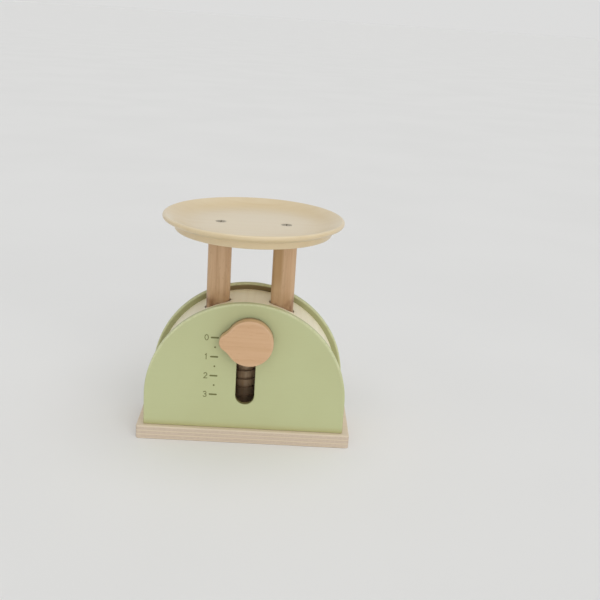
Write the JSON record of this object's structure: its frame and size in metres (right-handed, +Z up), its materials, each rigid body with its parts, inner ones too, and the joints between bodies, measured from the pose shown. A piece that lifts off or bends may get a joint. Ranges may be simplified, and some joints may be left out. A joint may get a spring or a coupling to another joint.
{
  "type": "toy spring scale",
  "caption": "Wooden toy scale: an arch housing with a slotted front and a sprung pointer, and a round dish on posts.",
  "frame": {"origin": "middle of the base board's underside", "axes": "+Z up, +X to the right seen from the front, -Y towards the front panel and its pointer"},
  "size_m": [0.2, 0.166, 0.2105],
  "materials": {
    "plywood": "satin lacquer, layered edges",
    "green_paint": "matte pale green paint",
    "bent_ply": "satin lacquer",
    "beech": "satin lacquer",
    "pine": "sawn",
    "dish_wood": "gloss lacquer",
    "pointer_wood": "satin lacquer",
    "spring_steel": "dull drawn wire",
    "screw_steel": "dull zinc plated",
    "washer_steel": "satin"
  },
  "bodies": {
    "housing": {"base_board": "plywood", "front_panel": "green_paint", "back_panel": "green_paint", "arch_cover": "bent_ply", "guide_dowel": "beech", "dowel_bridge": "pine", "left_stop_block": "pine", "right_stop_block": "pine", "left_cover_cleat": "pine", "right_cover_cleat": "pine", "left_spacer_dowel": "beech", "right_spacer_dowel": "beech", "base_screws": "screw_steel", "lower_washer": "washer_steel", "spring": "spring_steel"},
    "carriage": {"dish": "dish_wood", "dish_screws": "screw_steel", "left_post": "beech", "right_post": "beech", "crossbar": "pine", "post_screws": "screw_steel", "pointer": "pointer_wood", "pointer_peg": "beech", "upper_washer": "washer_steel"}
  },
  "joints": [
    {"name": "pan_slide", "type": "slide", "parent": "housing", "child": "carriage", "axis": [0, 0, 1], "range_m": [-0.056, 0], "stiffness_N_per_m": 150, "springref_m": 0.018, "deforming": ["spring"]}
  ]
}
